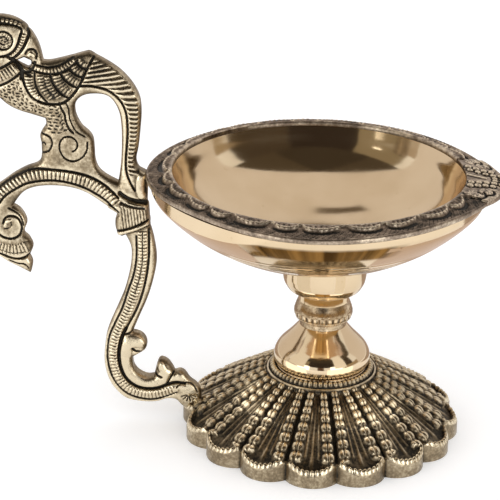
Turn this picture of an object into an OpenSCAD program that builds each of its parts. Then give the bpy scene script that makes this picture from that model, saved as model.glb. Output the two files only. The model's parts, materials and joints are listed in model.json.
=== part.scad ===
// Diya: a brass oil lamp with a peacock handle.
// The origin is where the stem's axis meets the floor. The spout points along +X, the handle along -X.

/* [Base] */
// Diameter over the petals
base_d = 78; // [76:0.5:80]
// Number of petals round the base
petal_count = 16; // [14:1:18]
// Angle that the petals are turned round the stem
petal_turn = 2.5; // [0:0.5:5]
// Height of the dome above the floor
dome_h = 18.6; // [18:0.1:19.4]
// Height of the petals' upright edge
petal_edge_h = 3.8; // [3:0.1:4.5]
// Wall of the hollow dome
dome_wall = 3; // [2:0.1:3.5]

/* [Stem] */
// Largest diameter of the polished bell
bell_d = 27; // [26:0.2:28]
// Height of the bell
bell_h = 13.2; // [12.6:0.1:14]
// Diameter of the knurled ring
ring_d = 16.2; // [15.8:0.2:18]
// Height of the knurled ring
ring_h = 7.4; // [6.8:0.1:8]
// Diameter of the slim neck
neck_d = 14.2; // [13.6:0.2:15]
// Diameter of the cup under the bowl
cup_d = 23.2; // [22:0.2:25]
// Height of the cup with its neck
cup_h = 12.6; // [12.2:0.1:14]

/* [Bowl] */
// Diameter of the bowl's body under the rim
bowl_d = 91; // [90:0.2:92]
// Height of the bowl's body, from its seat to the underside of the rim
bowl_h = 22.3; // [21.8:0.1:22.8]
// Diameter of the opening
opening_d = 80; // [78:0.5:81]
// Thickness of the bowl's bottom
bottom_t = 3.7; // [3:0.1:5]
// How far the bowl sits behind the stem's axis
bowl_back = 2.5; // [0:0.5:3]

/* [Rim] */
// Greatest width of the rim
rim_d = 93.2; // [92.4:0.2:94]
// Thickness of the rim
rim_t = 1.2; // [1:0.1:2]
// Fall of the rim from its inner to its outer edge
rim_fall = 1.8; // [1:0.1:2.4]
// Extra reach of the rim's point at the handle
rim_point = 0.4; // [0:0.1:0.8]
// Extra reach of the rim towards the spout
rim_flare = 2.6; // [2:0.1:3]
// Length of the leaf beyond the opening
leaf_l = 13.5; // [12:0.5:15]

/* [Handle] */
// Thickness of the peacock, arch and limb
handle_t = 4.4; // [4:0.1:6]
// Thickness of the collar that joins them
collar_t = 6; // [5:0.1:8]

/* [Fasteners] */
// Diameter of the tie stud
stud_d = 6; // [5:0.5:6]
// Width of the nut across its flats
nut_af = 10; // [9:0.5:11]
// Thickness of the nut
nut_h = 5; // [4:0.1:6]
// Diameter of the dowel pins
pin_d = 2; // [1.6:0.1:2.2]

/* [Hidden] */
$fn = 96;

polished = "#d9b27a";
antique = "#9c8a5c";
patina = "#857868";
steel = "#b8b8b4";

ring_z = dome_h + bell_h;
cup_z = ring_z + ring_h;
bowl_z = cup_z + cup_h;
rim_z = bowl_z + bowl_h;
rim_top = rim_z + rim_t;
neck_h = 2.4;
stud_clearance = 0.3;
pin_clearance = 0.05;
boss_r = 8.3;
boss_h = 7.5;
washer_t = 1.6;
washer_d = 14;
hollow_edge_r = base_d / 2 - 6.5;
foot_x = -36.2;

// Corners where the handle's castings meet, in X and Z.
collar_right = [-48.4, 59.2];
collar_left = [-55.2, 56.4];
tail_right = [-49.2, 67];
tail_left = [-57.2, 67];
arch_end = [-57.2, 62.8];
crook = [-57.2, 71.8];
perch_right = [-68.2, 89.5];
perch_left = [-77, 89.5];

// A point on the smooth curve through a, b, c and d: the part t of the way from b to c.
function bend(a, b, c, d, t) =
    b + (c - a) * t / 2
    + (2 * a - 5 * b + 4 * c - d) * t * t / 2
    + (3 * b - a - 3 * c + d) * t * t * t / 2;

// The smooth curve through the points p, up to its last point but without it.
function curve(p, steps = 3) =
    let (last = len(p) - 1)
    [for (i = [0:last - 1], k = [0:steps - 1])
        bend(p[max(i - 1, 0)], p[i], p[i + 1], p[min(i + 2, last)], k / steps)];

// ---- Base and stem ----

// The dome's outer surface, from the bead that stands round its flat top down to the petals' edge.
function dome_line() = concat(
    [[12.9, dome_h], [13, dome_h + 0.9], [13.3, dome_h + 1.3], [13.9, dome_h + 1.3], [14.4, dome_h + 0.6]],
    curve([
        [14.7, dome_h - 0.7], [19, dome_h - 2.7], [23, dome_h - 4.9], [28, dome_h - 7.8],
        [base_d / 2 - 6, dome_h - 10.9], [base_d / 2 - 2, petal_edge_h + 1.3], [base_d / 2, petal_edge_h]
    ]));

// The whole dome, filled in down to the floor.
module dome_body() {
    rotate_extrude()
        polygon(concat([[0, 0], [0, dome_h]], dome_line(),
            [[base_d / 2, petal_edge_h], [base_d / 2, 0]]));
}

// Round lobes side by side, one to a petal, with a petal on the X axis.
module petal_outline() {
    lobe_r = 8;
    circle(r = base_d / 2 - 6);
    for (i = [0:petal_count - 1])
        rotate(i * 360 / petal_count - petal_turn)
            translate([base_d / 2 - lobe_r, 0])
                circle(r = lobe_r);
}

module base_lotus() {
    hollow_h = dome_h - dome_wall;
    color(antique)
    difference() {
        intersection() {
            dome_body();
            linear_extrude(dome_h + 2) petal_outline();
        }
        rotate_extrude()
            polygon(concat([[0, 0], [0, hollow_h]], curve([
                [11, hollow_h], [15, hollow_h - 1.2], [19, hollow_h - 3], [23, hollow_h - 5.4],
                [28, hollow_h - 8.8], [hollow_edge_r - 1, hollow_h - 12], [hollow_edge_r, 1.6]
            ]), [[hollow_edge_r, 1.6], [hollow_edge_r, 0]]));
        cylinder(d = stud_d + stud_clearance, h = dome_h + 1);
        foot_rivet_body(pin_clearance);
    }
}

module stem_bell() {
    r = bell_d / 2;
    color(polished)
    translate([0, 0, dome_h])
        difference() {
            rotate_extrude()
                polygon(concat([[0, 0]], curve([
                    [r - 1.5, 0], [r - 1.1, 0.7], [r - 0.6, 1.7], [r - 0.1, 3], [r, 4.2], [r - 0.4, 5.5],
                    [r - 1.4, 6.9], [r - 2.9, 8.6], [r - 4.3, 10.3], [r - 5.4, 11.9], [neck_d / 2 + 0.2, bell_h]
                ]), [[neck_d / 2 + 0.2, bell_h], [0, bell_h]]));
            stud_bore(bell_h);
        }
}

module stem_ring() {
    r = ring_d / 2;
    color(antique)
    translate([0, 0, ring_z])
        difference() {
            rotate_extrude()
                polygon(concat([[0, 0], [neck_d / 2, 0]], curve([
                    [neck_d / 2, 0.6], [r - 0.5, 1.6], [r, 3.5], [r - 0.3, 5.2], [neck_d / 2, ring_h]
                ]), [[neck_d / 2, ring_h], [0, ring_h]]));
            stud_bore(ring_h);
        }
}

// The neck and cup are one piece, bored out at the top for the boss under the bowl.
module stem_cup() {
    r = cup_d / 2;
    color(polished)
    translate([0, 0, cup_z])
        difference() {
            rotate_extrude()
                polygon(concat([[0, 0], [neck_d / 2, 0]], curve([
                    [neck_d / 2, neck_h], [r - 3, neck_h + 0.4], [r - 1.7, neck_h + 1.1], [r - 0.8, neck_h + 2.4],
                    [r - 0.3, neck_h + 3.5], [r, neck_h + 5.2]
                ]), [[r, neck_h + 5.2], [r, cup_h], [0, cup_h]]));
            stud_bore(cup_h);
            translate([0, 0, cup_h - boss_h - 0.5])
                cylinder(r = boss_r + 0.2, h = boss_h + 1);
        }
}

module stud_bore(h) {
    translate([0, 0, -1])
        cylinder(d = stud_d + stud_clearance, h = h + 2);
}

// ---- Bowl and rim ----

// The bowl's round body, with the blind boss that the tie stud screws into.
module bowl() {
    r = bowl_d / 2;
    lip = opening_d / 2;
    lip_z = bowl_h + rim_fall * 0.93;
    color(polished)
    translate([0, 0, bowl_z])
        difference() {
            union() {
                intersection() {
                    linear_extrude(bowl_h + rim_fall) rim_outline();
                    translate([-bowl_back, 0, 0])
                        rotate_extrude()
                            polygon(concat([[0, 0]], curve([
                                [13, 0], [18, 1.4], [24, 3.7], [30, 6.6], [36, 10.4], [r - 4.5, 14.6],
                                [r - 1.1, 18.1], [r + 0.1, 20.2], [r + 0.5, bowl_h]
                            ]), [[r + 0.5, bowl_h]], curve([
                                [lip, lip_z], [lip - 0.8, 22], [lip - 2.2, 18.6], [lip - 4.4, 15.2], [lip - 8, 12],
                                [lip - 13, 9], [lip - 20, 6.2], [lip - 28, 4.5], [0, bottom_t]
                            ]), [[0, bottom_t]]));
                }
                cylinder(d = cup_d, h = 1.5);
                translate([0, 0, -boss_h])
                    cylinder(r = boss_r, h = boss_h + 1);
            }
            translate([0, 0, -boss_h - 1])
                cylinder(d = stud_d, h = boss_h + 2.5);
            translate([0, 0, -bowl_z]) rim_pin_body(pin_clearance);
        }
}

// The rim seen from above: nearly round, with a blunt point at the handle.
module rim_outline() {
    dip = 2;
    spout_dip = 0.8;
    polygon([for (a = [0:2.5:357.5])
        let (back = cos(a) < 0 ? 1 : 0)
        let (point = back * rim_point * pow(cos(a), 8) + rim_flare * exp(-pow(min(a, 360 - a) / 22, 2)))
        let (r = rim_d / 2 + point - (back > 0 ? dip : spout_dip) * pow(sin(2 * a), 2))
        [r * cos(a) - bowl_back, r * sin(a)]]);
}

// The points p mirrored across the X axis, in reverse order.
function mirrored(p) = [for (i = [len(p) - 1:-1:0]) [p[i].x, -p[i].y]];

// The leaf seen from above: two curled shoulders and a point. It runs on into the opening.
module leaf_outline() {
    x0 = opening_d / 2 - bowl_back;
    tip = [x0 + leaf_l, 0];
    side = concat([[x0 - 4, 12]], curve([[x0 + 5.1, 15.9], [x0 + 7.4, 12], [x0 + 9.8, 6.4], tip]));
    polygon(concat(side, [tip], mirrored(side)));
}

module rim_border() {
    lip = opening_d / 2;
    edge = rim_d / 2 + 1;
    outer = edge + rim_flare;
    color(patina)
    difference() {
        intersection() {
            translate([-bowl_back, 0, rim_z])
                rotate_extrude()
                    polygon([
                        [lip, rim_fall * 0.93], [bowl_d / 2 + 0.5, 0], [outer, 0], [outer, rim_t],
                        [edge, rim_t], [lip, rim_t + rim_fall]
                    ]);
            translate([0, 0, rim_z - 1]) linear_extrude(rim_t + rim_fall + 2) rim_outline();
        }
        translate([0, 0, rim_z - 1]) linear_extrude(rim_t + rim_fall + 2) leaf_outline();
    }
}

module spout_leaf() {
    color(patina)
    translate([0, 0, rim_z])
        difference() {
            linear_extrude(rim_t + rim_fall)
                difference() {
                    leaf_outline();
                    translate([-bowl_back, 0]) circle(d = opening_d);
                }
            // its underside follows the bowl's sloping lip
            translate([-bowl_back, 0, 0])
                rotate_extrude()
                    polygon([[0, -1], [bowl_d / 2 + 0.5, -1], [bowl_d / 2 + 0.5, 0],
                        [opening_d / 2, rim_fall * 0.93], [0, rim_fall * 0.93]]);
        }
}

// ---- Handle ----

// Stands a flat outline, drawn in X and Z, upright on the handle's plane.
module upright(t) {
    rotate([90, 0, 0])
        translate([0, 0, -t / 2])
            linear_extrude(t) children();
}

// The S-shaped limb from the collar down to the base, with the curl above its foot.
module limb_outline() {
    curl_top = [-53.2, 27.1];
    curl_hook = [-53.2, 19.3];
    bud = [-47.2, 13.7];
    bud_foot = [-41.2, 15.2];
    toe = [-33.8, 3.2];
    polygon(concat(
        curve([collar_right, [-47.5, 55.9], [-46.7, 51], [-46.8, 47], [-47.8, 42], [-49.3, 37],
            [-51.3, 32], curl_top]),
        curve([curl_top, [-51.3, 26.6], [-49.8, 25.2], [-49.2, 23.4], [-49.7, 21.8], [-51, 20.7], curl_hook]),
        curve([curl_hook, [-53, 16.8], [-52, 15], [-50.5, 13.9], [-48.8, 13.4], bud]),
        curve([bud, [-46.5, 16.9], [-45.8, 18.7], [-44.8, 19], [-43, 18], bud_foot]),
        curve([bud_foot, [-40, 15.6], [-38.5, 15], [-37, 12.9], [-35, 11.3], [-33.8, 8.9], toe]),
        curve([toe, [-38.5, 4.3], [-41, 6.5], [-43.5, 6.6], [-46, 5.7], [-49, 5.4], [-52, 5.6], [-55, 6.3],
            [-57.5, 8.3], [-59.6, 11.2], [-60.9, 15.1], [-61.3, 19], [-60.9, 24], [-60, 28.3], [-57, 35.8],
            [-55.5, 39.8], [-54.2, 45], [-53.6, 49], [-53.7, 53], collar_left]),
        [collar_left]
    ));
}

module handle_limb() {
    color(antique)
    difference() {
        upright(handle_t) limb_outline();
        intersection() {
            dome_body();
            linear_extrude(dome_h + 2) petal_outline();
        }
        collar_pin_body(pin_clearance);
        foot_rivet_body(pin_clearance);
    }
}

// The collar that the limb, the arch and the tail come together in.
module handle_collar() {
    color(antique)
    difference() {
        upright(collar_t)
            polygon(concat(
                [tail_left, tail_right],
                curve([[-48.9, 65.5], [-48.7, 62.5], collar_right]),
                [collar_right, collar_left],
                curve([[-56.2, 56], [-57.2, 56.8], [-57.9, 59], [-57.9, 61.4], arch_end]),
                [arch_end]
            ));
        collar_pin_body(pin_clearance);
        arch_pin_body(pin_clearance);
    }
}

// The arch with the perch that carries the bird, and the curl and leaf at its free end.
module arch_outline() {
    curl_start = [-86.2, 63.9];
    leaf_notch = [-82, 49];
    leaf_tip = [-81.7, 43.9];
    polygon(concat(
        curve([perch_right, [-67, 87.5], [-65, 85.7], [-64, 83.9], [-63.7, 80.9], [-63.5, 77.9], [-62.5, 75.3],
            [-60.3, 73.4], crook]),
        [crook],
        curve([arch_end, [-60, 64.5], [-63, 66.6], [-66, 68.4], [-70, 69.7], [-75, 70.1], [-80, 69.5],
            [-83.5, 67.7], curl_start]),
        curve([curl_start, [-84.4, 62.7], [-83, 60.6], [-82.6, 58.6], [-83.4, 55.9], [-82, 54.3], [-81, 51.8],
            leaf_notch]),
        curve([leaf_notch, [-81.2, 46.9], leaf_tip]),
        curve([leaf_tip, [-84.5, 45.4], [-88, 47.1], [-91.5, 49.7], [-94.4, 53.2], [-96.4, 57.5],
            [-96.8, 61.9], [-95.4, 65.4], [-92.8, 68.2], [-89.5, 70.3], [-86, 73], [-82.5, 75.1],
            [-79.4, 76.4], [-78.2, 78.3], [-78.1, 82], [-78.4, 84.9], [-76.8, 87.8], perch_left]),
        [perch_left]
    ));
}

module handle_arch() {
    color(antique)
    difference() {
        upright(handle_t) arch_outline();
        arch_pin_body(pin_clearance);
        perch_pin_body(pin_clearance);
    }
}

// The peacock looks back over its wing, and its tail comes down to the rim.
module peacock_outline() {
    nape = [-77.3, 105.7];
    shoulder = [-63, 107.6];
    tail_front = [-49, 74.6];
    polygon(concat(
        curve([nape, [-75, 105.8], [-70, 107.2], [-66.5, 108.3], [-64.8, 108.6], shoulder]),
        curve([shoulder, [-60, 106], [-57, 104], [-54.6, 101.7], [-52.6, 99], [-51.3, 96], [-50.9, 92],
            [-51.2, 87], [-51.7, 82], [-52.3, 78.4], [-51.4, 76], tail_front]),
        [tail_front, tail_right, tail_left],
        curve([crook, [-56.8, 74.4], [-56.4, 78], [-56.2, 83], [-56.3, 88], [-56.9, 92], [-58.6, 95.3],
            [-61, 96.8], [-65, 96.8], [-67.5, 95.7], [-68.8, 93.7], [-68.8, 91.3], perch_right]),
        [perch_right],
        curve([perch_left, [-80.5, 90.5], [-84, 91.5], [-87, 93], [-89.6, 95.3], [-92, 98.2], [-94, 102],
            [-95.4, 106.6], [-96, 110.9], [-95, 114.8], [-92.2, 117.4], [-88.6, 118], [-85, 117.4],
            [-82, 115.7], [-79.8, 112.9], [-78.3, 109.8], nape])
    ));
}

module peacock() {
    beak_gap = [[-84.5, 105.4], [-82.5, 106.6], [-80.4, 105.9], [-80.2, 104.2], [-81.5, 103], [-82.8, 104.3]];
    color(antique)
    difference() {
        upright(handle_t)
            difference() {
                peacock_outline();
                polygon(beak_gap);
            }
        translate([0, 0, rim_z - 8]) linear_extrude(16) rim_outline();
        collar_pin_body(pin_clearance);
        perch_pin_body(pin_clearance);
        rim_pin_body(pin_clearance);
    }
}

// ---- Fasteners ----

module tie_stud() {
    stud_z = 7;
    color(steel)
    translate([0, 0, stud_z])
        cylinder(d = stud_d, h = bowl_z + 1 - stud_z);
}

module stud_washer() {
    color(steel)
    translate([0, 0, dome_h - dome_wall - washer_t])
        difference() {
            cylinder(d = washer_d, h = washer_t);
            stud_bore(washer_t);
        }
}

module stud_nut() {
    color(steel)
    translate([0, 0, dome_h - dome_wall - washer_t - nut_h])
        difference() {
            cylinder(d = nut_af / cos(30), h = nut_h, $fn = 6);
            translate([0, 0, -1]) cylinder(d = stud_d, h = nut_h + 2);
        }
}

// A plain pin from one point to another, fatter by play where it serves as its own hole.
module pin_between(a, b, play) {
    d = b - a;
    translate([a.x, 0, a.y])
        rotate([0, atan2(d.x, d.y), 0])
            cylinder(d = pin_d + 2 * play, h = norm(d));
}

module collar_pin_body(play = 0) {
    pin_between([-50.2, 49], [-52.5, 70], play);
}

module arch_pin_body(play = 0) {
    pin_between([-61.6, 68.2], [-54.2, 63.6], play);
}

module perch_pin_body(play = 0) {
    pin_between([-72.6, 83], [-72.6, 96], play);
}

module rim_pin_body(play = 0) {
    pin_between([-55.4, rim_z - 1.5], [-46, rim_z - 1.5], play);
}

module foot_rivet_body(play = 0) {
    bottom = play > 0 ? -1 : 0.4;
    translate([foot_x, 0, bottom])
        cylinder(d = pin_d + 2 * play, h = 9.5 - bottom);
}

module collar_pin() {
    color(steel) collar_pin_body();
}

module arch_pin() {
    color(steel) arch_pin_body();
}

module perch_pin() {
    color(steel) perch_pin_body();
}

module rim_pin() {
    color(steel) rim_pin_body();
}

module foot_rivet() {
    color(steel) foot_rivet_body();
}

base_lotus();
stem_bell();
stem_ring();
stem_cup();
bowl();
rim_border();
spout_leaf();
tie_stud();
stud_washer();
stud_nut();
handle_limb();
handle_collar();
handle_arch();
peacock();
collar_pin();
arch_pin();
perch_pin();
rim_pin();
foot_rivet();
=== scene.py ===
"""The looks of the brass peacock diya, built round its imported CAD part."""

import json
import math

import bpy
import numpy as np
import openvdb
from mathutils import Matrix, Vector


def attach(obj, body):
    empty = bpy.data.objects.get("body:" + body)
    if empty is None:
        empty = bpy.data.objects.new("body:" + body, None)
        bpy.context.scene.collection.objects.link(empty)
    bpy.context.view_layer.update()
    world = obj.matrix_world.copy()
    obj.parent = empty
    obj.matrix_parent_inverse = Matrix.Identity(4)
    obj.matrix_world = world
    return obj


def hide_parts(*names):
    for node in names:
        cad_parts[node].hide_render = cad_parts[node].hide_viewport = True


MM = 0.001
VOXEL = 0.18            # of the cast relief, in mm
FAR = 3.0               # the distance that an empty voxel holds
COLUMNS = 768           # of the base, round the axis
SIDE_INK = 0.42         # darkness of a plate's sides

# Sizes and heights in mm, as in part.scad.
PETALS = 16
PETAL_TURN = math.radians(2.5)
DOME_TOP = 18.6         # where the bell stands on the base
BELL_H = 13.2
RING_Z = 31.8
RING_H = 7.4
CUP_Z = 39.2
CUP_H = 12.6
BOWL_Z = 51.8
BOWL_X = -2.5           # the bowl's axis lies behind the stem's
BOSS_H = 7.5            # of the boss under the bowl, which stands in the cup
BORE_R = 3.15           # round the tie stud
RIM_Z = 74.1
RIM_T = 1.2
RIM_FALL = 1.8          # from the lip out to the rim's edge
RIM_SLOPE = RIM_FALL / 7.6
LIP_R = 40.0            # of the rim's inner edge
HANDLE_HALF = 2.2       # half the thickness
COLLAR_HALF = 3.0
LAP = 0.1               # of the handle's castings past their joints
HANDLE_BEVEL = 1.1
LEAF_BEVEL = 0.5
PETAL_R = 8             # of the arc at a petal's end
PETAL_AT = 31           # of that arc's centre from the axis

CARD_COLUMNS = 12       # of a reflected card
SHELL_ROWS = 6
SHELL_CENTRE = Vector((0.0, -0.1, 0.05))
BOX_TARGET = Vector((0, 0, 0.05))
SOFT = 0.0015           # metres over which a soft card's foot and head fade

BEADS_AT_STEM = 62
RING_TEETH = 26
RIM_TEETH = 190


# ---- Lines, distances and meshes ----

def unit(x):
    """x, kept between 0 and 1."""
    return np.clip(x, 0, 1)


def cycle(x):
    """Where x is between the whole numbers beside it, from -1 to 1."""
    return 2 * (x % 1) - 1


def nick(x, depth=0.98):
    """A rounded top at 0 that drops away towards -1 and 1, as a depth."""
    return 1 - np.sqrt(1 - depth * x ** 2)


def dome(*offsets):
    """The height of a round top, 0 to 1, at offsets that reach its edge at 1."""
    left = 1
    for x in offsets:
        left = left - x ** 2
    return np.sqrt(unit(left))


def curve(points, steps=6):
    """The smooth line through the points, ends included."""
    p = np.asarray(points, float)
    q = np.vstack([p[:1], p, p[-1:]])
    t = np.arange(steps)[:, None] / steps
    runs = []
    for a, b, c, d in zip(q, q[1:], q[2:], q[3:]):
        runs.append(b + (c - a) * t / 2 + (2 * a - 5 * b + 4 * c - d) * t ** 2 / 2
                    + (3 * b - a - 3 * c + d) * t ** 3 / 2)
    return np.vstack(runs + [p[-1:]])


def circle_path(centre, radius, start=0, end=360, steps=32):
    """An arc round the centre, in degrees."""
    a = np.radians(np.linspace(start, end, steps))
    return np.stack([centre[0] + radius * np.cos(a), centre[1] + radius * np.sin(a)], 1)


def signed_distance(u, v, loops):
    """How far each point is from the loops' edge: negative inside."""
    nearest = np.full(u.shape, 1e9)
    inside = np.zeros(u.shape, bool)
    for loop in loops:
        for a, b in zip(loop, np.roll(loop, -1, axis=0)):
            d = b - a
            size = d @ d
            if size < 1e-12:
                continue
            t = unit(((u - a[0]) * d[0] + (v - a[1]) * d[1]) / size)
            nearest = np.minimum(nearest, (u - a[0] - t * d[0]) ** 2 + (v - a[1] - t * d[1]) ** 2)
            if d[1] != 0:
                low, high = sorted((a[1], b[1]))
                inside ^= (v > low) & (v <= high) & (u < a[0] + (v - a[1]) * d[0] / d[1])
    return np.where(inside, -1, 1) * np.sqrt(nearest)


def blur(a, radius):
    """The array a, smoothed over about radius cells."""
    k = np.exp(-0.5 * (np.arange(-2 * radius, 2 * radius + 1) / radius) ** 2)
    k /= k.sum()
    for axis in (0, 1):
        wide = [(0, 0), (0, 0)]
        wide[axis] = (2 * radius, 2 * radius)
        p = np.pad(a, wide, mode="edge")
        n = a.shape[axis]
        a = sum(w * np.take(p, np.arange(i, i + n), axis=axis) for i, w in enumerate(k))
    return a


def in_scene(name, data):
    """A new object in the scene, which shows the mesh, light or camera."""
    obj = bpy.data.objects.new(name, data)
    bpy.context.scene.collection.objects.link(obj)
    return obj


def piece(name, points, faces, material, stands_for, ink=None, sharp=None):
    """A mesh object from points in mm. It rides on the lamp and stands for CAD nodes."""
    mesh = bpy.data.meshes.new(name)
    mesh.from_pydata((points.reshape(-1, 3) * MM).tolist(), [], faces)
    mesh.polygons.foreach_set("use_smooth", [True] * len(mesh.polygons))
    if ink is not None:
        # The patina attribute holds the dark hollows of the castings, and on the handle painted shade and
        # light too.
        layer = mesh.attributes.new("patina", "FLOAT", "POINT")
        layer.data.foreach_set("value", ink.reshape(-1).astype(np.float32))
    if sharp:
        mesh.set_sharp_from_angle(angle=math.radians(sharp))
    mesh.materials.append(material)
    mesh.update()
    obj = in_scene(name, mesh)
    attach(obj, "root")
    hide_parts(stands_for)


def strip_faces(rows, columns):
    """Faces of an open grid, row by row."""
    return [(i + j, i + j + 1, i + columns + j + 1, i + columns + j)
            for i in range(0, (rows - 1) * columns, columns) for j in range(columns - 1)]


def grid_faces(rows, columns):
    """Faces of a grid that closes on itself both ways."""
    i = np.arange(rows)[:, None] * columns
    j = np.arange(columns)[None, :]
    down = (i + columns) % (rows * columns)
    right = (j + 1) % columns
    return np.stack([i + j, down + j, down + right, i + right], -1).reshape(-1, 4).tolist()


def turns(columns):
    """The angles of a turned shape's columns."""
    return np.arange(columns) * 2 * math.pi / columns


def swept(r, z, a, x=0.0):
    """Points at radius r, height z and angle a round the axis at x."""
    return np.stack([x + r * np.cos(a), r * np.sin(a), z + 0 * a], -1)


def ring_solid(name, profile, material, stands_for):
    """A polished ring: the closed profile, in radius and height, swept round the stem's axis."""
    columns = 256
    points = swept(profile[:, :1], profile[:, 1:], turns(columns))
    piece(name, points, grid_faces(len(profile), columns), material, stands_for, sharp=35)


# ---- Relief on flat plates ----

class Relief:
    """A map of a plate's face: what rises from it, what is cut into it, and how dark it is."""

    def __init__(self, low, high):
        self.low = np.array(low, float)
        self.u, self.v = np.meshgrid(np.arange(low[0], high[0], VOXEL),
                                     np.arange(low[1], high[1], VOXEL), indexing="ij")
        self.rise = np.zeros_like(self.u)
        self.cut = np.zeros_like(self.u)
        self.ink = np.zeros_like(self.u)
        self.tone = np.zeros_like(self.u)

    def window(self, path, reach):
        """The part of the map within reach of the path."""
        lo = np.floor((path.min(0) - reach - self.low) / VOXEL).astype(int)
        hi = np.ceil((path.max(0) + reach - self.low) / VOXEL).astype(int) + 1
        return tuple(slice(max(a, 0), max(b, 1)) for a, b in zip(lo, hi))

    def along(self, path, reach):
        """The window near the path, each point's offset from it and its place: -1 past the ends.

        A list of points is made smooth first, and an array is taken as it is.
        """
        path = curve(path) if isinstance(path, list) else path
        w = self.window(path, reach)
        u, v = self.u[w], self.v[w]
        near = np.full(u.shape, 1e9)
        offset, place = np.zeros_like(u), np.zeros_like(u)
        done = 0.0
        total = np.hypot(*np.diff(path, axis=0).T).sum()
        for a, b in zip(path, path[1:]):
            d = b - a
            length = math.hypot(*d)
            if length < 1e-9:
                continue
            t = unit(((u - a[0]) * d[0] + (v - a[1]) * d[1]) / length ** 2)
            pu, pv = u - a[0] - t * d[0], v - a[1] - t * d[1]
            dist = np.hypot(pu, pv)
            closer = dist < near
            near = np.where(closer, dist, near)
            offset = np.where(closer, dist * np.sign(d[0] * pv - d[1] * pu), offset)
            place = np.where(closer, done + t * length, place)
            done += length
        past = (place <= 0) | (place >= total)
        return w, offset, np.where(past, -1, place)

    def lift(self, w, height):
        """Raises a window of the map to the height at each point."""
        self.rise[w] = np.maximum(self.rise[w], height)

    def carve(self, w, level, depth, ink):
        """Cuts and darkens a window of the map by the level at each point, 0 to 1."""
        self.cut[w] = np.maximum(self.cut[w], depth * level)
        self.ink[w] = np.maximum(self.ink[w], ink * level)

    def groove(self, path, width, depth, ink=1.0):
        """A cut line, dark at its bottom."""
        w, off, _ = self.along(path, width)
        self.carve(w, unit(1.25 - 2 * abs(off) / width), depth, 0.9 * ink)

    def ridge(self, path, width, height):
        """A raised, rounded line."""
        w, off, _ = self.along(path, width)
        self.lift(w, height * dome(2 * off / width))

    def ribs(self, path, width, pitch, depth, ink, swell=0.3):
        """A raised, rounded band with nicks across it."""
        w, off, place = self.along(path, width)
        inside = unit((width / 2 - abs(off)) / 0.2 + 0.5) * (place >= 0)
        self.carve(w, inside * nick(cycle(place / pitch)), depth, ink)
        self.lift(w, swell * (dome(2 * off / width) * (place >= 0)))

    def beads(self, path, width, pitch, depth, ink):
        """A row of beads, sunk into the face."""
        w, off, place = self.along(path, width)
        f = cycle(place / pitch)
        s = 2 * off / width
        inside = unit((1.15 - abs(s)) * 4) * (place >= 0)
        bead = dome(f, s)
        self.carve(w, inside * (1 - bead), depth, ink)
        self.lift(w, 0.35 * bead * inside)

    def region(self, points, soft=0.3, reach=1.0):
        """The window round a closed shape, and how far inside it each point is, 0 to 1."""
        loop = np.asarray(points, float)
        w = self.window(loop, reach)
        return w, unit(0.5 - signed_distance(self.u[w], self.v[w], [loop]) / soft)

    def hatch(self, w, inside, phase, depth, ink):
        """Nicks between rounded ribs, one for each whole number of the phase."""
        self.carve(w, inside * nick(cycle(phase)), depth, ink)

    def dashes(self, w, inside, angle, length, gap, depth, ink):
        """Short staggered strokes at the angle, in degrees."""
        c, s = math.cos(math.radians(angle)), math.sin(math.radians(angle))
        a = (self.u[w] * c + self.v[w] * s) / length
        b = (self.v[w] * c - self.u[w] * s) / gap + 0.3 * np.sin(2.6 * a) + 0.2 * np.sin(4.1 * a + 1)
        row = np.floor(b)
        a = a + 0.5 * (row % 2) + 0.17 * np.sin(2.3 * row)
        fa, fb = abs(a % 1 - 0.5), abs(b % 1 - 0.5)
        stroke = unit((0.36 - fa) * 8) * unit((0.26 - fb) * 8)
        self.carve(w, inside * stroke, 0.7 * depth, 0.65 * ink)

    def shade(self, points, amount, soft=2.5):
        """Darkens a closed shape a little all over, with a soft edge."""
        w, inside = self.region(points, soft, soft)
        self.tone[w] = np.maximum(self.tone[w], amount * inside)

    def face(self):
        """The height of the face over its plain level, and its darkness: hollows, plus a tone that on the
        handle holds painted shade and light.
        """
        h = self.rise - 1.25 * self.cut - 0.5 * blur(self.cut, 3)
        around = blur(h, 4)
        hollow = unit((around - h) * 2.6)
        high = np.clip((h - around) * 2.4, 0, 0.45)
        return h, unit(np.maximum(self.ink, hollow) + self.tone - high)


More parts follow.
